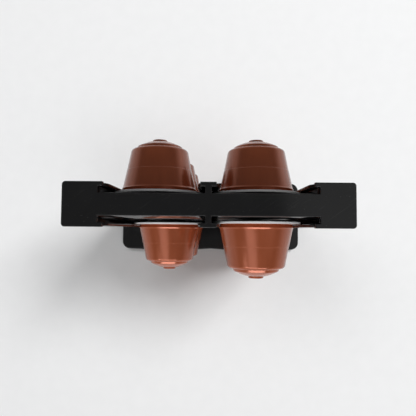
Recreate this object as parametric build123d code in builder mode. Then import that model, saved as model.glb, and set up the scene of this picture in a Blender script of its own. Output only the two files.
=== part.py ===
"""Free-standing, double-sided tower that holds coffee capsules by their rims.

A hollow rail body has two columns of slots on its front and two on its rear. Capsules lie on their
sides, dome outwards, and slide down the slots from the top to stack on the base plate. A cap closes
the top of the rail body, and screws through the base plate hold the rail body down.

Frame: Z up, X along the width of the tower, front at -Y, origin on the ground under the middle.
Lengths are in millimetres.
"""

import os

from build123d import *

# Capsule, a sealed cup with a foil lid, built up from the outer face of its foil
rim_diameter = 54.0
rim_depth = 1.3
foil_thickness = 0.3
foil_gap = 0.05
neck_root_diameter = 44.2
neck_diameter = 45.4
neck_height = 3.0
neck_step = 0.5
body_height = 23.4
mould_line_share = 0.46
mould_step = 0.15
shoulder_diameter = 34.8
shoulder_round = 2.2
crown_rise = 0.6
step_diameter = 28.6
step_rise = 1.5
dome_diameter = 27.4
dome_rise = 3.4
dome_bulge_height = 0.5
nub_diameter = 9.2
nub_rise = 1.0
nub_edge = 0.4

# Stacks of capsules, which lean within the play of their slots: one column's top place is empty
columns = ("front_left", "front_right", "rear_left", "rear_right")
open_columns = ("front_left",)
stack_count = 3
stack_gap = 0.3
stack_lean_width = 0.95

# Rail body
rim_side_gap = 1.25
rim_lip_gap = 0.2
slot_gap = 3.6
web_depth = 12.0
stem_width = 3.4
post_width = 18.2
lip_depth = 1.8
lip_overhang = 4.2
lead_in_overhang = 2.6
lead_in_height = 6.0
rail_corner = 1.2
rail_wall = 2.2
rib_thickness = 1.6
port_diameter = 6.4
port_bore = 2.9
free_rail = 9.4

# Top cap
cap_thickness = 3.0
cap_overhang = 0.6
cap_edge = 0.4
peg_depth = 6.0
peg_gap = 0.15

# Base plate
base_length = 168.0
base_depth = 62.5
base_bow = 1.4
base_corner = 7.0
base_thickness = 5.5
base_skin = 3.2
base_wall = 2.4
base_edge = 0.8
socket_depth = 1.2
socket_gap = 0.15

# Screws
screw_head_diameter = 6.4
screw_length = 16.0
screw_gap = 0.1
screw_hole_diameter = 3.4
screw_tip_share = 0.4
cross_length = 3.4
cross_width = 0.9
cross_depth = 1.0
screw_boss_wall = 1.6

# Feet
foot_diameter = 12.0
foot_height = 3.0
foot_seat = 1.5
foot_edge = 0.6
foot_inset = 13.0
foot_gap = 0.1
foot_boss_wall = 1.8

# Cuts run this far past the face that they leave by
overrun = 5.0

# Heights, from the ground up
base_under = foot_height - foot_seat
base_top = base_under + base_thickness
rail_foot = base_top - socket_depth
stack_pitch = rim_diameter + stack_gap
first_axis = base_top + stack_gap + rim_diameter / 2
rail_top = base_top + stack_count * stack_pitch + free_rail

# Places across the width and the depth
slot_span = rim_diameter + 2 * rim_side_gap
column_x = (slot_span + stem_width) / 2
post_inside = stem_width / 2 + slot_span
post_x = post_inside + post_width / 2
rail_width = 2 * (post_inside + post_width)
web_face = web_depth / 2
lip_inside = web_face + slot_gap
rail_depth = 2 * (lip_inside + lip_depth)
foil_plane = lip_inside - rim_lip_gap - rim_depth
port_places = [(-post_x, 0), (0, 0), (post_x, 0)]
foot_places = [
    (x * (base_length / 2 - foot_inset), y * (base_depth / 2 - foot_inset))
    for x in (-1, 1)
    for y in (-1, 1)
]
screw_diameter = port_bore - 2 * screw_gap

os.makedirs("parts", exist_ok=True)


def finish(piece, name):
    """Labels a finished piece and writes it to its STEP file."""
    piece.label = name
    export_step(piece, f"parts/{name}.step")


def rail_outline(spread, slot_inset, overhang):
    """The section of the rail, grown by spread outside and by slot_inset into its slots."""
    mouth_width = slot_span - 2 * overhang - 2 * slot_inset
    mouth_depth = slot_gap + lip_depth + spread + overrun
    with BuildSketch() as outline:
        RectangleRounded(rail_width + 2 * spread, rail_depth + 2 * spread, rail_corner + spread)
        for side, mouth_align in ((-1, Align.MAX), (1, Align.MIN)):
            with Locations(
                (-column_x, side * (web_face + slot_gap / 2)),
                (column_x, side * (web_face + slot_gap / 2)),
            ):
                Rectangle(slot_span - 2 * slot_inset, slot_gap - 2 * slot_inset, mode=Mode.SUBTRACT)
            with Locations(
                (-column_x, side * (web_face + slot_inset)),
                (column_x, side * (web_face + slot_inset)),
            ):
                Rectangle(
                    mouth_width,
                    mouth_depth,
                    align=(Align.CENTER, mouth_align),
                    mode=Mode.SUBTRACT,
                )
    return outline.sketch


def base_outline(inset):
    """The outline of the base plate, drawn in by inset, whose long sides bow out under each column."""
    half_length = base_length / 2 - inset
    half_depth = base_depth / 2 - inset
    with BuildSketch() as outline:
        with BuildLine():
            SagittaArc((-half_length, -half_depth), (0, -half_depth), -base_bow)
            SagittaArc((0, -half_depth), (half_length, -half_depth), -base_bow)
            Line((half_length, -half_depth), (half_length, half_depth))
            SagittaArc((half_length, half_depth), (0, half_depth), -base_bow)
            SagittaArc((0, half_depth), (-half_length, half_depth), -base_bow)
            Line((-half_length, half_depth), (-half_length, -half_depth))
        make_face()
        corners = outline.vertices().filter_by(lambda corner: abs(corner.X) > base_length / 4)
        fillet(corners, base_corner - inset)
    return outline.sketch


# Rail body: one hollow section, with ribs and screw ports along its whole height
with BuildPart() as rail_body:
    with BuildSketch(Plane.XY.offset(rail_foot)):
        add(rail_outline(0, 0, lip_overhang))
        Rectangle(2 * post_inside, web_depth - 2 * rail_wall, mode=Mode.SUBTRACT)
        with Locations((-post_x, 0), (post_x, 0)):
            Rectangle(post_width - 2 * rail_wall, rail_depth - 2 * rail_wall, mode=Mode.SUBTRACT)
            Rectangle(post_width, rib_thickness)
        with Locations((-column_x, 0), (0, 0), (column_x, 0)):
            Rectangle(rib_thickness, web_depth)
        with Locations(*port_places):
            Circle(port_diameter / 2)
            Circle(port_bore / 2, mode=Mode.SUBTRACT)
    extrude(amount=rail_top - rail_foot)
    # The lips part towards the top, so that a rim finds its slot
    for side in (-1, 1):
        with BuildSketch(Plane.XZ.offset(side * lip_inside)):
            for x in (-column_x, column_x):
                narrow = slot_span / 2 - lip_overhang
                wide = slot_span / 2 - lead_in_overhang
                lead_in_foot = rail_top - lead_in_height
                with BuildLine():
                    left = TangentArc((x - narrow, lead_in_foot), (x - wide, rail_top), tangent=(0, 1))
                    right = TangentArc((x + narrow, lead_in_foot), (x + wide, rail_top), tangent=(0, 1))
                    Line(left @ 0, right @ 0)
                    Line(left @ 1, right @ 1)
                make_face()
        extrude(amount=side * (lip_depth + overrun), mode=Mode.SUBTRACT)
finish(rail_body.part, "rail_body")

# Top cap: a plate a little larger than the rail, with pegs that plug its web
inner_peg = (port_diameter / 2, column_x - rib_thickness / 2)
outer_peg = (column_x + rib_thickness / 2, post_inside)
with BuildPart() as top_cap:
    with BuildSketch(Plane.XY.offset(rail_top)):
        add(rail_outline(cap_overhang, 0, lead_in_overhang))
    extrude(amount=cap_thickness)
    fillet(top_cap.faces().sort_by(Axis.Z)[-1].edges(), cap_edge)
    with BuildSketch(Plane.XY.offset(rail_top)):
        for start, end in (inner_peg, outer_peg):
            with Locations((-(start + end) / 2, 0), ((start + end) / 2, 0)):
                Rectangle(end - start - 2 * peg_gap, web_depth - 2 * rail_wall - 2 * peg_gap)
    extrude(amount=-peg_depth)
finish(top_cap.part, "top_cap")

# Base plate: a moulded tray, open below, with a socket that the foot of the rail stands in
with BuildPart() as base_plate:
    with BuildSketch(Plane.XY.offset(base_under)):
        add(base_outline(0))
    extrude(amount=base_thickness)
    fillet(base_plate.faces().sort_by(Axis.Z)[-1].edges(), base_edge)
    with BuildSketch(Plane.XY.offset(base_under)):
        add(base_outline(base_wall))
        with Locations(*port_places):
            Circle(screw_head_diameter / 2 + screw_boss_wall, mode=Mode.SUBTRACT)
        with Locations(*foot_places):
            Circle(foot_diameter / 2 + foot_boss_wall, mode=Mode.SUBTRACT)
        Rectangle(base_length, rib_thickness, mode=Mode.SUBTRACT)
        with Locations((-column_x, 0), (0, 0), (column_x, 0)):
            Rectangle(rib_thickness, base_depth, mode=Mode.SUBTRACT)
    extrude(amount=base_thickness - base_skin, mode=Mode.SUBTRACT)
    screw_mouths = [Plane(origin=(x, y, base_under), z_dir=(0, 0, -1)) for x, y in port_places]
    with Locations(*screw_mouths):
        CounterSinkHole(
            radius=screw_hole_diameter / 2,
            counter_sink_radius=screw_head_diameter / 2 + screw_gap,
            counter_sink_angle=90,
        )
    with BuildSketch(Plane.XY.offset(base_top)):
        add(rail_outline(socket_gap, socket_gap, lip_overhang))
    extrude(amount=-socket_depth, mode=Mode.SUBTRACT)
    with BuildSketch(Plane.XY.offset(base_under)):
        with Locations(*foot_places):
            Circle(foot_diameter / 2 + foot_gap)
    extrude(amount=foot_seat, mode=Mode.SUBTRACT)
finish(base_plate.part, "base_plate")

# Base screws: countersunk, driven up into the ports of the rail
with BuildPart() as base_screws:
    for x, y in port_places:
        with BuildSketch(Plane.XZ.offset(-y)):
            with BuildLine():
                head_radius = screw_head_diameter / 2
                shank_radius = screw_diameter / 2
                head_depth = head_radius - shank_radius
                screw_tip = base_under + screw_length
                Polyline(
                    (x, base_under),
                    (x + head_radius, base_under),
                    (x + shank_radius, base_under + head_depth),
                    (x + shank_radius, screw_tip - screw_diameter),
                    (x + shank_radius * screw_tip_share, screw_tip),
                    (x, screw_tip),
                    close=True,
                )
            make_face()
        revolve(axis=Axis((x, y, 0), (0, 0, 1)))
    with BuildSketch(Plane.XY.offset(base_under)):
        with Locations(*port_places):
            Rectangle(cross_length, cross_width)
            Rectangle(cross_width, cross_length)
    extrude(amount=cross_depth, mode=Mode.SUBTRACT)
finish(base_screws.part, "base_screws")

# Rubber feet, pressed into the seats under the base plate
with BuildPart() as rubber_feet:
    with BuildSketch():
        with Locations(*foot_places):
            Circle(foot_diameter / 2)
    extrude(amount=foot_height)
    chamfer(rubber_feet.edges().group_by(Axis.Z)[0], foot_edge)
finish(rubber_feet.part, "rubber_feet")


def capsule_plane(column, place):
    """The plane of a capsule's half profile: X is outwards from its axis, Y along it to the nub."""
    side = -1 if column.startswith("front") else 1
    x = -column_x if column.endswith("left") else column_x
    x += stack_lean_width * ((stack_count + 1) / 2 - place)
    axis_height = first_axis + (place - 1) * stack_pitch
    return Plane(origin=(x, side * foil_plane, axis_height), x_dir=(1, 0, 0), z_dir=(0, 0, side))


def make_cup(column, place):
    """A capsule's moulded cup, filled and closed, from its rim to the nub on its dome."""
    plane = capsule_plane(column, place)
    rim_radius = rim_diameter / 2 - foil_thickness - foil_gap
    neck_radius = neck_diameter / 2
    body_radius = neck_radius - neck_step
    shoulder_radius = shoulder_diameter / 2
    mould_radius = body_radius + (shoulder_radius - body_radius) * mould_line_share
    body_foot = rim_depth + neck_height
    mould_line = body_foot + body_height * mould_line_share
    shoulder = body_foot + body_height
    step_foot = shoulder + crown_rise
    dome_foot = step_foot + step_rise
    nub_foot = dome_foot + dome_rise
    nub_top = nub_foot + nub_rise
    with BuildPart() as cup:
        with BuildSketch(plane):
            with BuildLine():
                wall = FilletPolyline(
                    (neck_root_diameter / 2, rim_depth),
                    (neck_radius, body_foot - neck_step),
                    (body_radius, body_foot),
                    (mould_radius, mould_line - mould_step),
                    (mould_radius - mould_step, mould_line),
                    (shoulder_radius, shoulder),
                    (step_diameter / 2, step_foot),
                    (dome_diameter / 2, dome_foot),
                    radius=(0, 0, 0, 0, shoulder_round, 0),
                )
                dome = SagittaArc(wall @ 1, (nub_diameter / 2, nub_foot), -dome_bulge_height)
                FilletPolyline(
                    dome @ 1,
                    (nub_diameter / 2, nub_top),
                    (0, nub_top),
                    (0, foil_thickness),
                    (rim_radius, foil_thickness),
                    (rim_radius, rim_depth),
                    wall @ 0,
                    radius=(nub_edge, 0, 0, 0, 0),
                )
            make_face()
        revolve(axis=Axis(plane.origin, plane.y_dir))
    finish(cup.part, f"{column}_cup_{place}")


def make_lid(column, place):
    """A capsule's foil lid, folded round the edge of the rim."""
    plane = capsule_plane(column, place)
    lid_radius = rim_diameter / 2
    with BuildPart() as lid:
        with BuildSketch(plane):
            with BuildLine():
                Polyline(
                    (0, 0),
                    (lid_radius, 0),
                    (lid_radius, rim_depth),
                    (lid_radius - foil_thickness, rim_depth),
                    (lid_radius - foil_thickness, foil_thickness),
                    (0, foil_thickness),
                    close=True,
                )
            make_face()
        revolve(axis=Axis(plane.origin, plane.y_dir))
    finish(lid.part, f"{column}_lid_{place}")


for stack in columns:
    for stack_place in range(1, stack_count + 1):
        if stack_place < stack_count or stack not in open_columns:
            make_cup(stack, stack_place)
            make_lid(stack, stack_place)
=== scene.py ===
"""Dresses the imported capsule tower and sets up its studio.

The holder is black moulded plastic, the capsules are brown cups with foil lids, and the camera is
overhead. Lengths are in metres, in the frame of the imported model: Z up, front at -Y.
"""

from __future__ import annotations

import logging
import math
from dataclasses import dataclass, field
from enum import Enum
from typing import Any

import bmesh
import bpy
from mathutils import Matrix, Vector

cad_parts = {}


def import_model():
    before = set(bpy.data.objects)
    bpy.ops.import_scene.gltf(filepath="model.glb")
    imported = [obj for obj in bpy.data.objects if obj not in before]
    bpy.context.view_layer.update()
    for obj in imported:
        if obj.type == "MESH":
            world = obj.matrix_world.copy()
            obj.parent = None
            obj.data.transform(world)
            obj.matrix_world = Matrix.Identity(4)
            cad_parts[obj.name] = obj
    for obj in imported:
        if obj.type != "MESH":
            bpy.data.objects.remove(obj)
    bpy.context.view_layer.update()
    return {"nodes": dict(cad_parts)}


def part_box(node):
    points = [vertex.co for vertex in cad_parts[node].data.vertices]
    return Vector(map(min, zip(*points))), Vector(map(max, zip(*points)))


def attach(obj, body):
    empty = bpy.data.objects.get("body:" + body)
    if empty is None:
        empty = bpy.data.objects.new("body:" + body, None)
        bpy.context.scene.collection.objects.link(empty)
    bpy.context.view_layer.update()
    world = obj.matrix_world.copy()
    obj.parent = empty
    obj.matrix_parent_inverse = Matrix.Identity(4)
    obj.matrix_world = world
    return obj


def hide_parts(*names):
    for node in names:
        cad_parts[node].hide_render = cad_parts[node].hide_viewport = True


LOG = logging.getLogger("capsule_tower")
MM = 0.001
PLAIN_DETAIL = 2.0
# The sockets of a Mix node that mixes colours.
MIX_FACTOR, MIX_FIRST, MIX_SECOND, MIX_RESULT = 0, 6, 7, 2

Colour = tuple[float, float, float, float]
Point = tuple[float, float]


class Slot(Enum):
    """The record's material slots of the pieces that are replaced here."""

    HOLDER = "holder_plastic"
    CUP = "cup_plastic"
    LID = "lid_foil"


class Side(Enum):
    """The two faces of the rail, with the way that a capsule's dome points along Y."""

    FRONT = -1
    REAR = 1


class Lit(Enum):
    """What a lamp lights, with the floor's state in the lamp's light linking."""

    FLOOR = "INCLUDE"
    OBJECT = "EXCLUDE"


class Shade:
    """A value in a node tree. Arithmetic on it adds Math nodes."""

    def __init__(self, tree: ShadeTree, socket: bpy.types.NodeSocket) -> None:
        """Keeps the socket and the tree that new nodes go into."""
        self.tree = tree
        self.socket = socket

    def _math(self, operation: str, first: Any, second: Any) -> Shade:
        """Adds one Math node.

        Args:
            operation: the Math node's operation.
            first: a Shade or a number.
            second: a Shade or a number.

        Returns:
            The node's result.
        """
        return self.tree.add("ShaderNodeMath", {"operation": operation}, {0: first, 1: second})

    def __add__(self, other: Any) -> Shade:
        """Adds a value."""
        return self._math("ADD", self, other)

    def __mul__(self, other: Any) -> Shade:
        """Multiplies by a value."""
        return self._math("MULTIPLY", self, other)

    def above(self, edge: float) -> Shade:
        """One where this value is over the edge, and zero elsewhere."""
        return self._math("GREATER_THAN", self, edge)

    def spread(self, middle: float, width: float) -> Shade:
        """This value, from 0 to 1, moved to a range of some width round a middle."""
        return self * width + (middle - width / 2)


class ShadeTree:
    """The node tree of a material or a world, whose nodes give Shades."""

    def __init__(self, tree: bpy.types.NodeTree) -> None:
        """Keeps the tree's nodes and links."""
        self.nodes = tree.nodes
        self.links = tree.links

    def add(
        self,
        kind: str,
        settings: dict[str, Any] | None = None,
        inputs: dict[str | int, Any] | None = None,
        output: str | int = 0,
    ) -> Shade:
        """Adds a node of any type.

        Args:
            kind: the node's type.
            settings: its properties.
            inputs: a value, a colour or a Shade for each socket, by name or number.
            output: the socket that the result is read from.

        Returns:
            The chosen output.
        """
        node = self.nodes.new(kind)
        for name, value in (settings or {}).items():
            setattr(node, name, value)
        for socket, value in (inputs or {}).items():
            self.feed(node.inputs[socket], value)
        return Shade(self, node.outputs[output])

    def feed(self, socket: bpy.types.NodeSocket, value: Any) -> None:
        """Links a Shade to a socket, or sets the socket's own value."""
        if isinstance(value, Shade):
            self.links.new(value.socket, socket)
        else:
            socket.default_value = value


class FinishTree(ShadeTree):
    """A material's node tree, with one Principled shader."""

    def __init__(self, name: str) -> None:
        """Makes an empty material with its shader and output."""
        self.material = bpy.data.materials.new(name)
        self.material.use_nodes = True
        super().__init__(self.material.node_tree)
        self.nodes.clear()
        self.shader = self.nodes.new("ShaderNodeBsdfPrincipled")
        output = self.nodes.new("ShaderNodeOutputMaterial")
        self.links.new(self.shader.outputs[0], output.inputs["Surface"])

    def place(self) -> Shade:
        """The point on the object, in metres."""
        return self.add("ShaderNodeTexCoord", output="Object")

    def noise(
        self, size: float, detail: float = PLAIN_DETAIL, place: Shade | None = None
    ) -> Shade:
        """Cloudy noise from 0 to 1.

        Args:
            size: the width of a cloud, in metres.
            detail: how many finer layers it has.
            place: where it is read, if not at the point on the object.

        Returns:
            The noise's value.
        """
        inputs = {"Vector": place or self.place(), "Scale": 1.0 / size, "Detail": detail}
        return self.add("ShaderNodeTexNoise", None, inputs)

    def streaks(self, size: float, stretch: float, turn: float = 0.0) -> Shade:
        """Noise drawn out along Y.

        Args:
            size: the width of a streak, in metres.
            stretch: how many times longer than wide it is.
            turn: how far the object is turned round Z under the streaks, in radians.

        Returns:
            The noise's value, from 0 to 1.
        """
        turning = {"Vector": self.place(), "Rotation": (0.0, 0.0, turn)}
        turned = self.add("ShaderNodeMapping", None, turning)
        drawing = {"Vector": turned, "Scale": (1.0, 1.0 / stretch, 1.0)}
        return self.noise(size, place=self.add("ShaderNodeMapping", None, drawing))

    def mixed(self, factor: Shade, first: Shade | Colour, second: Shade | Colour) -> Shade:
        """Mixes two colours by a factor."""
        inputs = {MIX_FACTOR: factor, MIX_FIRST: first, MIX_SECOND: second}
        return self.add("ShaderNodeMix", {"data_type": "RGBA"}, inputs, MIX_RESULT)

    def bump(self, height: Shade, depth: float) -> Shade:
        """A bumped normal.

        Args:
            height: the height from 0 to 1.
            depth: what a height of 1 stands for, in metres.

        Returns:
            The normal.
        """
        inputs = {"Height": height, "Distance": depth, "Strength": 1.0}
        return self.add("ShaderNodeBump", None, inputs)

    def set(self, **inputs: Any) -> None:
        """Sets the shader's sockets, whose names are written with underscores for spaces."""
        for name, value in inputs.items():
            self.feed(self.shader.inputs[name.replace("_", " ")], value)


@dataclass(frozen=True)
class HolderPlastic:
    """Black moulded plastic with a fine grain, faint scratches and a trace of dust."""

    colour: Colour = (0.008, 0.008, 0.0084, 1.0)
    worn_colour: Colour = (0.0125, 0.0125, 0.013, 1.0)
    dust_colour: Colour = (0.08, 0.08, 0.078, 1.0)
    roughness: float = 0.1
    roughness_spread: float = 0.06
    specular: float = 0.32
    cloud_size: float = 14 * MM
    cloud_detail: float = 3.0
    grain_size: float = 0.45 * MM
    grain_depth: float = 0.004 * MM
    dust_size: float = 1.1 * MM
    dust_detail: float = 1.0
    dust_edge: float = 0.74
    dust_strength: float = 0.25
    scratch_width: float = 0.5 * MM
    scratch_stretch: float = 45.0
    scratch_turn: float = math.radians(55)
    scratch_edge: float = 0.7
    scratch_strength: float = 0.12

    def make(self) -> bpy.types.Material:
        """Builds the material."""
        tree = FinishTree("holder_plastic")
        clouds = tree.noise(self.cloud_size, self.cloud_detail)
        plastic = tree.mixed(clouds, self.colour, self.worn_colour)
        specks = tree.noise(self.dust_size, self.dust_detail)
        scratches = tree.streaks(self.scratch_width, self.scratch_stretch, self.scratch_turn)
        dust = specks.above(self.dust_edge) * self.dust_strength
        marks = dust + scratches.above(self.scratch_edge) * self.scratch_strength
        tree.set(
            Base_Color=tree.mixed(marks, plastic, self.dust_colour),
            Specular_IOR_Level=self.specular,
            Roughness=clouds.spread(self.roughness, self.roughness_spread),
            Normal=tree.bump(tree.noise(self.grain_size), self.grain_depth),
        )
        return tree.material


@dataclass(frozen=True)
class CupPlastic:
    """Brown moulded plastic with a metallic sheen and painted highlight streaks along the cup."""

    colour: Colour = (0.295, 0.067, 0.024, 1.0)
    # The colour of the painted highlight streaks: lighter brown streaks along the cup that stand in
    # for reflected light.
    highlight_streak_colour: Colour = (0.355, 0.086, 0.032, 1.0)
    metal_share: float = 0.28
    roughness: float = 0.2
    roughness_spread: float = 0.12
    highlight_streak_size: float = 5 * MM
    highlight_streak_stretch: float = 12.0
    grain_size: float = 0.7 * MM
    grain_depth: float = 0.004 * MM

    def make(self) -> bpy.types.Material:
        """Builds the material."""
        tree = FinishTree("cup_plastic")
        # Streaks along the cup's axis. In the colour they are painted highlights, and they also
        # vary the roughness.
        highlight_streaks = tree.streaks(self.highlight_streak_size, self.highlight_streak_stretch)
        tree.set(
            Base_Color=tree.mixed(highlight_streaks, self.colour, self.highlight_streak_colour),
            Metallic=self.metal_share,
            Roughness=highlight_streaks.spread(self.roughness, self.roughness_spread),
            Normal=tree.bump(tree.noise(self.grain_size), self.grain_depth),
        )
        return tree.material


@dataclass(frozen=True)
class LidFoil:
    """Dull aluminium foil with a faint mottle and shallow creases."""

    colour: Colour = (0.91, 0.91, 0.92, 1.0)
    dull_colour: Colour = (0.84, 0.84, 0.85, 1.0)
    metal_share: float = 0.1
    roughness: float = 0.5
    roughness_spread: float = 0.16
    crease_size: float = 3.2 * MM
    crease_detail: float = 3.0
    crease_depth: float = 0.09 * MM
    mottle_size: float = 6 * MM
    mottle_detail: float = 4.0

    def make(self) -> bpy.types.Material:
        """Builds the material."""
        tree = FinishTree("lid_foil")
        mottle = tree.noise(self.mottle_size, self.mottle_detail)
        creases = tree.noise(self.crease_size, self.crease_detail)
        tree.set(
            Base_Color=tree.mixed(mottle, self.colour, self.dull_colour),
            Metallic=self.metal_share,
            Roughness=mottle.spread(self.roughness, self.roughness_spread),
            Normal=tree.bump(creases, self.crease_depth),
        )
        return tree.material


@dataclass(frozen=True)
class FootRubber:
    """Dull black rubber."""

    colour: Colour = (0.02, 0.02, 0.02, 1.0)
    dusty_colour: Colour = (0.05, 0.05, 0.048, 1.0)
    roughness: float = 0.8
    cloud_size: float = 3 * MM
    cloud_detail: float = 3.0
    grain_size: float = 0.4 * MM
    grain_depth: float = 0.04 * MM

    def make(self) -> bpy.types.Material:
        """Builds the material."""
        tree = FinishTree("foot_rubber")
        clouds = tree.noise(self.cloud_size, self.cloud_detail)
        tree.set(
            Base_Color=tree.mixed(clouds, self.colour, self.dusty_colour),
            Roughness=self.roughness,
            Normal=tree.bump(tree.noise(self.grain_size), self.grain_depth),
        )
        return tree.material


@dataclass(frozen=True)
class ScrewSteel:
    """Zinc-plated steel."""

    colour: Colour = (0.55, 0.55, 0.54, 1.0)
    dull_colour: Colour = (0.4, 0.4, 0.39, 1.0)
    roughness: float = 0.38
    roughness_spread: float = 0.2
    cloud_size: float = 1.5 * MM
    cloud_detail: float = 3.0

    def make(self) -> bpy.types.Material:
        """Builds the material."""
        tree = FinishTree("screw_steel")
        clouds = tree.noise(self.cloud_size, self.cloud_detail)
        tree.set(
            Base_Color=tree.mixed(clouds, self.colour, self.dull_colour),
            Metallic=1.0,
            Roughness=clouds.spread(self.roughness, self.roughness_spread),
        )
        return tree.material


@dataclass(frozen=True)
class FloorPaper:
    """Pale matt paper with a faint mottle."""

    colour: Colour = (0.80, 0.805, 0.81, 1.0)
    mottle_colour: Colour = (0.84, 0.845, 0.85, 1.0)
    mottle_size: float = 12 * MM
    mottle_detail: float = 6.0
    glow_colour: Colour = (0.02, 0.02, 0.02, 1.0)
    dark: Colour = (0.0, 0.0, 0.0, 1.0)
    roughness: float = 0.9

    def make(self) -> bpy.types.Material:
        """Builds the material."""
        tree = FinishTree("floor_paper")
        mottle = tree.noise(self.mottle_size, self.mottle_detail)
        camera_ray = tree.add("ShaderNodeLightPath", output="Is Camera Ray")
        seen = camera_ray + tree.add("ShaderNodeLightPath", output="Is Glossy Ray")
        tree.set(
            Base_Color=tree.mixed(mottle, self.colour, self.mottle_colour),
            Roughness=self.roughness,
            Emission_Color=tree.mixed(seen, self.dark, self.glow_colour),
            Emission_Strength=1.0,
        )
        return tree.material


def add_object(name: str, mesh: bpy.types.Mesh) -> bpy.types.Object:
    """Puts a mesh into the scene as an object at the origin.

    Args:
        name: the object's name.
        mesh: its mesh.

    Returns:
        The new object.
    """
    made = bpy.data.objects.new(name, mesh)
    bpy.context.scene.collection.objects.link(made)
    return made


def applied_mesh(source: bpy.types.Object, name: str) -> bpy.types.Mesh:
    """Turns an object with modifiers into a plain mesh.

    Args:
        source: the object, which is deleted.
        name: the new mesh's name.

    Returns:
        The plain mesh.
    """
    bpy.context.view_layer.update()
    evaluated = source.evaluated_get(bpy.context.evaluated_depsgraph_get())
    mesh = bpy.data.meshes.new_from_object(evaluated)
    mesh.name = name
    source.modifiers.clear()
    bpy.data.objects.remove(source)
    return mesh


def rounded_profile(points: list[Point], radii: list[float], steps: int) -> list[Point]:
    """Rounds the corners of an open profile with arcs.

    Args:
        points: the profile's corners, each a radius and a height.
        radii: the rounding of each inner corner, zero for a sharp one.
        steps: the number of spans in each arc.

    Returns:
        The points of the rounded profile.
    """
    rounded = [points[0]]
    for before, corner, after, radius in zip(points, points[1:], points[2:], radii):
        if radius == 0:
            rounded.append(corner)
            continue
        here = Vector(corner)
        back = (Vector(before) - here).normalized()
        ahead = (Vector(after) - here).normalized()
        half_angle = back.angle(ahead) / 2
        centre = here + (back + ahead).normalized() * (radius / math.sin(half_angle))
        start = here + back * (radius / math.tan(half_angle)) - centre
        end = here + ahead * (radius / math.tan(half_angle)) - centre
        turn = start.angle_signed(end)
        for step in range(steps + 1):
            spoke = start.copy()
            spoke.rotate(Matrix.Rotation(-turn * step / steps, 2))
            rounded.append(tuple(centre + spoke))
    rounded.append(points[-1])
    return rounded


def lathe_mesh(
    name: str, profile: list[Point], segments: int, sharp_angle: float
) -> bpy.types.Mesh:
    """Turns a profile round the Z axis into a closed mesh.

    Args:
        name: the mesh's name.
        profile: radius and height pairs, from axis to axis.
        segments: the number of spans round the axis.
        sharp_angle: edges that turn more than this stay sharp.

    Returns:
        The mesh.
    """
    work = bmesh.new()
    rings = []
    turns = [2 * math.pi * step / segments for step in range(segments)]
    for radius, height in profile:
        if radius == 0:
            rings.append([work.verts.new((0, 0, height))] * segments)
            continue
        ring = [(radius * math.cos(turn), radius * math.sin(turn), height) for turn in turns]
        rings.append([work.verts.new(point) for point in ring])
    for lower, upper in zip(rings, rings[1:]):
        for step in range(segments):
            ahead = (step + 1) % segments
            corners = [lower[step], lower[ahead], upper[ahead], upper[step]]
            work.faces.new(list(dict.fromkeys(corners)))
    bmesh.ops.recalc_face_normals(work, faces=work.faces)
    mesh = bpy.data.meshes.new(name)
    work.to_mesh(mesh)
    work.free()
    mesh.shade_smooth()
    mesh.set_sharp_from_angle(angle=sharp_angle)
    return mesh


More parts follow.
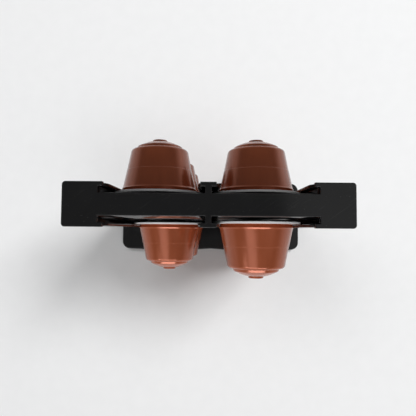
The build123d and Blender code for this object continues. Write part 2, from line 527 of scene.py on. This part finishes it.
@dataclass
class PleatTree:
    """A Geometry Nodes tree that sets pleats round the folded edge of a foil lid."""

    count: int = 72
    height: float = 0.1 * MM
    sides: int = 8

    def build(self, material: bpy.types.Material) -> bpy.types.NodeTree:
        """Builds the tree.

        Args:
            material: the foil.

        Returns:
            The tree, with named inputs for the pleats' sizes.
        """
        tree = bpy.data.node_groups.new("foil_pleats", "GeometryNodeTree")
        inputs = (
            ("Lid", "NodeSocketGeometry"),
            ("Count", "NodeSocketInt"),
            ("Edge Radius", "NodeSocketFloat"),
            ("Pleat Height", "NodeSocketFloat"),
            ("Pleat Length", "NodeSocketFloat"),
        )
        for name, kind in inputs:
            tree.interface.new_socket(name, in_out="INPUT", socket_type=kind)
        tree.interface.new_socket("Lid", in_out="OUTPUT", socket_type="NodeSocketGeometry")
        start = tree.nodes.new("NodeGroupInput").outputs
        end = tree.nodes.new("NodeGroupOutput").inputs
        ring = tree.nodes.new("GeometryNodeMeshCircle")
        pleat = tree.nodes.new("GeometryNodeMeshCylinder")
        pleat.inputs["Vertices"].default_value = self.sides
        half = tree.nodes.new("ShaderNodeMath")
        half.operation = "MULTIPLY"
        half.inputs[1].default_value = 0.5
        lift = tree.nodes.new("ShaderNodeCombineXYZ")
        raised = tree.nodes.new("GeometryNodeTransform")
        spread = tree.nodes.new("GeometryNodeInstanceOnPoints")
        joined = tree.nodes.new("GeometryNodeJoinGeometry")
        real = tree.nodes.new("GeometryNodeRealizeInstances")
        painted = tree.nodes.new("GeometryNodeSetMaterial")
        painted.inputs["Material"].default_value = material
        links = (
            (start["Count"], ring.inputs["Vertices"]),
            (start["Edge Radius"], ring.inputs["Radius"]),
            (start["Pleat Height"], pleat.inputs["Radius"]),
            (start["Pleat Length"], pleat.inputs["Depth"]),
            (start["Pleat Length"], half.inputs[0]),
            (half.outputs[0], lift.inputs["Z"]),
            (pleat.outputs["Mesh"], raised.inputs["Geometry"]),
            (lift.outputs[0], raised.inputs["Translation"]),
            (ring.outputs["Mesh"], spread.inputs["Points"]),
            (raised.outputs["Geometry"], spread.inputs["Instance"]),
            (start["Lid"], joined.inputs["Geometry"]),
            (spread.outputs["Instances"], joined.inputs["Geometry"]),
            (joined.outputs["Geometry"], real.inputs["Geometry"]),
            (real.outputs["Geometry"], painted.inputs["Geometry"]),
            (painted.outputs["Geometry"], end["Lid"]),
        )
        for source, target in links:
            tree.links.new(source, target)
        return tree

    def apply(
        self, lid: bpy.types.Object, radius: float, length: float, foil: bpy.types.Material
    ) -> bpy.types.Mesh:
        """Runs the tree on a lid.

        Args:
            lid: the plain lid, turned round Z, which is deleted.
            radius: the radius that the pleats stand on.
            length: the depth of the folded edge.
            foil: the foil.

        Returns:
            The lid's mesh with its pleats.
        """
        tree = self.build(foil)
        modifier = lid.modifiers.new("pleats", "NODES")
        modifier.node_group = tree
        sizes = {
            "Count": self.count,
            "Edge Radius": radius,
            "Pleat Height": self.height,
            "Pleat Length": length,
        }
        for item in tree.interface.items_tree:
            if item.in_out == "INPUT" and item.name in sizes:
                modifier[item.identifier] = sizes[item.name]
        return applied_mesh(lid, "lid_master")


@dataclass
class CapsuleSet:
    """The capsules in the four columns, each a cup and a foil lid, turned from one profile."""

    columns: dict[str, int] = field(
        default_factory=lambda: {"front_left": 2, "front_right": 3, "rear_left": 3, "rear_right": 3}
    )
    rim_depth: float = 1.3 * MM
    rim_edge: float = 0.3 * MM
    foil_thickness: float = 0.3 * MM
    foil_dish: float = 0.15 * MM
    seal_width: float = 3.4 * MM
    neck_root_radius: float = 22.1 * MM
    neck_radius: float = 22.7 * MM
    neck_height: float = 3.0 * MM
    neck_step: float = 0.5 * MM
    neck_step_length: float = 0.85 * MM
    body_height: float = 23.4 * MM
    mould_line_share: float = 0.46
    mould_step: float = 0.15 * MM
    shoulder_radius: float = 17.4 * MM
    shoulder_round: float = 2.2 * MM
    crown_rise: float = 0.6 * MM
    step_radius: float = 14.3 * MM
    step_rise: float = 1.5 * MM
    step_round: float = 0.5 * MM
    dome_radius: float = 13.7 * MM
    dome_rise: float = 3.4 * MM
    dome_crest: float = 0.5 * MM
    dome_round: float = 30 * MM
    nub_radius: float = 4.6 * MM
    nub_rise: float = 1.0 * MM
    nub_edge: float = 0.4 * MM
    edge_round: float = 0.12 * MM
    segments: int = 128
    arc_steps: int = 6
    sharp_angle: float = math.radians(50)

    def _turned(self, name: str, corners: list[tuple[Point, float]]) -> bpy.types.Mesh:
        """Turns a profile into a mesh.

        Args:
            name: the mesh's name.
            corners: the profile's corners from axis to axis, each with its rounding.

        Returns:
            The mesh.
        """
        points = [point for point, _ in corners]
        radii = [radius for _, radius in corners[1:-1]]
        profile = rounded_profile(points, radii, self.arc_steps)
        return lathe_mesh(name, profile, self.segments, self.sharp_angle)

    def cup_mesh(self, rim_radius: float) -> bpy.types.Mesh:
        """Builds the cup, standing on its foil plane with its dome up.

        Args:
            rim_radius: the radius of the whole capsule's rim.

        Returns:
            The cup's mesh.
        """
        edge = rim_radius - self.foil_thickness
        body_radius = self.neck_radius - self.neck_step
        body_foot = self.rim_depth + self.neck_height
        mould_radius = body_radius + (self.shoulder_radius - body_radius) * self.mould_line_share
        mould_line = body_foot + self.body_height * self.mould_line_share
        shoulder = body_foot + self.body_height
        step_foot = shoulder + self.crown_rise
        dome_foot = step_foot + self.step_rise
        nub_foot = dome_foot + self.dome_rise
        nub_top = nub_foot + self.nub_rise
        dome_middle = (
            (self.dome_radius + self.nub_radius) / 2 + self.dome_crest / 2,
            (dome_foot + nub_foot) / 2 + self.dome_crest,
        )
        fine = self.edge_round
        corners = [
            ((0, self.foil_thickness), 0),
            ((edge, self.foil_thickness), fine),
            ((edge, self.rim_depth), self.rim_edge),
            ((self.neck_root_radius, self.rim_depth), self.rim_edge),
            ((self.neck_radius, body_foot - self.neck_step_length), fine),
            ((body_radius, body_foot), fine),
            ((mould_radius, mould_line - self.mould_step), fine / 2),
            ((mould_radius - self.mould_step, mould_line), fine / 2),
            ((self.shoulder_radius, shoulder), self.shoulder_round),
            ((self.step_radius, step_foot), fine),
            ((self.dome_radius, dome_foot), self.step_round),
            (dome_middle, self.dome_round),
            ((self.nub_radius, nub_foot), fine),
            ((self.nub_radius, nub_top), self.nub_edge),
            ((0, nub_top), 0),
        ]
        return self._turned("cup_master", corners)

    def lid_mesh(self, rim_radius: float, foil: bpy.types.Material) -> bpy.types.Mesh:
        """Builds the foil lid, folded round the rim, with its pleats.

        Args:
            rim_radius: the radius of the whole capsule's rim.
            foil: the foil.

        Returns:
            The lid's mesh.
        """
        pleats = PleatTree()
        outside = rim_radius - pleats.height
        inside = outside - self.foil_thickness + pleats.height
        seal_inside = self.neck_radius - self.seal_width
        fine = self.edge_round
        corners = [
            ((0, self.foil_dish), 0),
            ((seal_inside, self.foil_dish), fine),
            ((seal_inside + self.foil_dish, 0), fine),
            ((outside, 0), self.rim_edge),
            ((outside, self.rim_depth), fine),
            ((inside, self.rim_depth), 0),
            ((inside, self.foil_thickness), 0),
            ((0, self.foil_thickness), 0),
        ]
        plain = add_object("lid_plain", self._turned("lid_plain", corners))
        return pleats.apply(plain, outside, self.rim_depth, foil)

    def placed(self, column: str, place: int) -> Matrix:
        """Finds where a capsule lies from its packed lid.

        Args:
            column: the column's name.
            place: the capsule's place in it, from 1 at the bottom.

        Returns:
            The turn and shift of a capsule that stands at the origin.
        """
        side = Side.FRONT if column.startswith("front") else Side.REAR
        low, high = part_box(f"{column}_lid_{place}")
        middle = (low + high) / 2
        middle.y = high.y if side is Side.FRONT else low.y
        quarter = Matrix.Rotation(-side.value * math.pi / 2, 4, "X")
        return Matrix.Translation(middle) @ quarter

    def build(self, cup_plastic: bpy.types.Material, foil: bpy.types.Material) -> None:
        """Builds and places every capsule.

        Args:
            cup_plastic: the cups' material.
            foil: the lids' material.
        """
        low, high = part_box("front_left_lid_1")
        rim_radius = (high.x - low.x) / 2
        cup_master = self.cup_mesh(rim_radius)
        cup_master.materials.append(cup_plastic)
        lid_master = self.lid_mesh(rim_radius, foil)
        pieces = (("cup", cup_master, Slot.CUP), ("lid", lid_master, Slot.LID))
        for column, count in self.columns.items():
            for place in range(1, count + 1):
                for piece, master, slot in pieces:
                    name = f"{column}_{piece}_{place}"
                    mesh = master.copy()
                    mesh.transform(self.placed(column, place))
                    made = add_object(f"{name}_fine", mesh)
                    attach(made, f"capsule_{column}_{place}")
                    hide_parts(name)
                    LOG.info("%s: %d faces", made.name, len(mesh.polygons))


@dataclass
class Holder:
    """The rail, its cap and its base, with softened edges, and the feet and screws."""

    moulded: tuple[str, ...] = ("rail_body", "top_cap", "base_plate")
    merge_distance: float = 0.002 * MM
    flat_angle: float = math.radians(0.5)
    edge_angle: float = math.radians(40)
    edge_width: float = 0.3 * MM
    edge_segments: int = 3

    def softened(self, node: str, source: bpy.types.Mesh) -> bpy.types.Mesh:
        """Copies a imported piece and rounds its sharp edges.

        Args:
            node: the piece's name.
            source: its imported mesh.

        Returns:
            The softened mesh.
        """
        work = bmesh.new()
        work.from_mesh(source)
        bmesh.ops.remove_doubles(work, verts=work.verts, dist=self.merge_distance)
        bmesh.ops.dissolve_limit(
            work, angle_limit=self.flat_angle, verts=work.verts, edges=work.edges
        )
        mesh = bpy.data.meshes.new(f"{node}_sharp")
        work.to_mesh(mesh)
        work.free()
        rough = add_object(f"{node}_sharp", mesh)
        bevel = rough.modifiers.new("edges", "BEVEL")
        bevel.width = self.edge_width
        bevel.segments = self.edge_segments
        bevel.limit_method = "ANGLE"
        bevel.angle_limit = self.edge_angle
        soft = applied_mesh(rough, f"{node}_soft")
        soft.shade_smooth()
        soft.set_sharp_from_angle(angle=self.edge_angle)
        return soft

    def build(
        self,
        nodes: dict[str, bpy.types.Object],
        plastic: bpy.types.Material,
        rubber: bpy.types.Material,
        steel: bpy.types.Material,
    ) -> None:
        """Builds the softened pieces and dresses the rest.

        Args:
            nodes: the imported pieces.
            plastic: the moulded pieces' material.
            rubber: the feet's material.
            steel: the screws' material.
        """
        for node in self.moulded:
            mesh = self.softened(node, nodes[node].data)
            mesh.materials.clear()
            mesh.materials.append(plastic)
            made = add_object(f"{node}_moulded", mesh)
            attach(made, "holder")
            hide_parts(node)
            LOG.info("%s: %d faces", made.name, len(mesh.polygons))
        for node, material in (("rubber_feet", rubber), ("base_screws", steel)):
            nodes[node].data.materials.clear()
            nodes[node].data.materials.append(material)
            LOG.info("%s: dressed", node)


@dataclass(frozen=True)
class Lamp:
    """A soft lamp that points at the middle of the tower."""

    name: str
    place: tuple[float, float, float]
    size: tuple[float, float]
    power: float
    lit: Lit
    target: tuple[float, float, float] = (0.0, 0.0, 0.1)

    def make(self, floor: bpy.types.Object) -> None:
        """Adds the lamp to the scene.

        Args:
            floor: the floor, which has lamps of its own.
        """
        data = bpy.data.lights.new(self.name, "AREA")
        data.shape = "RECTANGLE"
        data.size, data.size_y = self.size
        data.energy = self.power
        lamp = bpy.data.objects.new(self.name, data)
        bpy.context.scene.collection.objects.link(lamp)
        lamp.location = self.place
        aim = Vector(self.target) - Vector(self.place)
        lamp.rotation_euler = aim.to_track_quat("-Z", "Y").to_euler()
        linked = bpy.data.collections.new(f"{self.name}_floor")
        linked.objects.link(floor)
        linked.collection_objects[0].light_linking.link_state = self.lit.value
        lamp.light_linking.receiver_collection = linked


@dataclass
class Studio:
    """The floor, the lamps and the camera over the tower."""

    floor_size: float = 3.6
    world_colour: Colour = (1.0, 1.0, 1.0, 1.0)
    world_strength: float = 0.16
    backdrop_strength: float = 0.72
    fade_foot: float = 0.0
    fade_top: float = 0.25
    camera_place: tuple[float, float, float] = (2.4 * MM, -12.9 * MM, 388.4 * MM)
    camera_tilt: float = math.radians(3.09)
    camera_lean: float = math.radians(0.71)
    camera_roll: float = math.radians(0.41)
    lens: float = 34.35
    sensor: float = 36.0
    lamps: tuple[Lamp, ...] = (
        Lamp("floor_key", (1.7, 1.2, 3.0), (1.4, 1.2), 98.0, Lit.FLOOR),
        Lamp("floor_fill", (-1.3, 1.3, 3.0), (1.6, 1.3), 25.0, Lit.FLOOR),
        Lamp("floor_front", (1.1, -1.1, 3.0), (1.6, 1.3), 17.0, Lit.FLOOR),
        Lamp("front_lamp", (-0.6, -4.92, 3.55), (9.0, 1.8), 340.0, Lit.OBJECT),
        Lamp("band_lamp", (-0.45, -0.66, 1.3), (0.95, 0.45), 1.9, Lit.OBJECT),
        Lamp("rear_lamp", (0.0, 1.9, 0.7), (3.0, 0.6), 1.1, Lit.OBJECT),
        Lamp("right_glow", (0.6, 0.0, 1.0), (0.9, 0.9), 1.15, Lit.OBJECT),
    )

    def build(self, floor_finish: bpy.types.Material) -> None:
        """Builds the studio.

        Args:
            floor_finish: the floor's material.
        """
        floor = self._floor(floor_finish)
        self._world()
        for lamp in self.lamps:
            lamp.make(floor)
        self._camera()
        bpy.context.scene.view_settings.view_transform = "Standard"

    def _floor(self, finish: bpy.types.Material) -> bpy.types.Object:
        """Lays the floor that the feet stand on."""
        half = self.floor_size / 2
        mesh = bpy.data.meshes.new("floor")
        corners = [(-half, -half), (half, -half), (half, half), (-half, half)]
        mesh.from_pydata([(x, y, 0.0) for x, y in corners], [], [(0, 1, 2, 3)])
        mesh.materials.append(finish)
        floor = add_object("floor", mesh)
        return floor

    def _world(self) -> None:
        """Fills the room with even light, before a backdrop that is seen as pale.

        The camera sees it pale all round, and reflections see it fade overhead.
        """
        world = bpy.data.worlds.new("studio")
        world.use_nodes = True
        tree = ShadeTree(world.node_tree)
        background = tree.nodes["Background"].inputs
        background["Color"].default_value = self.world_colour
        direction = tree.add("ShaderNodeTexCoord", output="Generated")
        height = tree.add("ShaderNodeSeparateXYZ", None, {0: direction}, "Z")
        fading = {
            "Value": height,
            "From Min": self.fade_foot,
            "From Max": self.fade_top,
            "To Min": self.backdrop_strength,
            "To Max": self.world_strength,
        }
        fade = tree.add("ShaderNodeMapRange", None, fading)
        strength: Shade | float = self.world_strength
        for ray, seen in (
            ("Is Glossy Ray", fade),
            ("Is Transmission Ray", fade),
            ("Is Camera Ray", self.backdrop_strength),
        ):
            is_ray = tree.add("ShaderNodeLightPath", output=ray)
            ends = {"Value": is_ray, "To Min": strength, "To Max": seen}
            strength = tree.add("ShaderNodeMapRange", None, ends)
        tree.feed(background["Strength"], strength)
        bpy.context.scene.world = world

    def _camera(self) -> None:
        """Sets the camera overhead, a little in front of the middle and tilted to the rear."""
        data = bpy.data.cameras.new("overhead")
        data.lens = self.lens
        data.sensor_width = self.sensor
        data.clip_start = MM
        camera = bpy.data.objects.new("overhead", data)
        bpy.context.scene.collection.objects.link(camera)
        tilt = Matrix.Rotation(self.camera_tilt, 4, "X")
        lean = Matrix.Rotation(self.camera_lean, 4, "Y")
        roll = Matrix.Rotation(self.camera_roll, 4, "Z")
        camera.matrix_world = Matrix.Translation(self.camera_place) @ tilt @ lean @ roll
        bpy.context.scene.camera = camera


def main() -> None:
    """Loads the frame, builds the pieces in order and sets up the studio."""
    logging.basicConfig(level=logging.INFO, format="%(message)s")
    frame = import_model()
    Holder().build(frame["nodes"], HolderPlastic().make(), FootRubber().make(), ScrewSteel().make())
    CapsuleSet().build(CupPlastic().make(), LidFoil().make())
    Studio().build(FloorPaper().make())


if __name__ == "__main__":
    main()
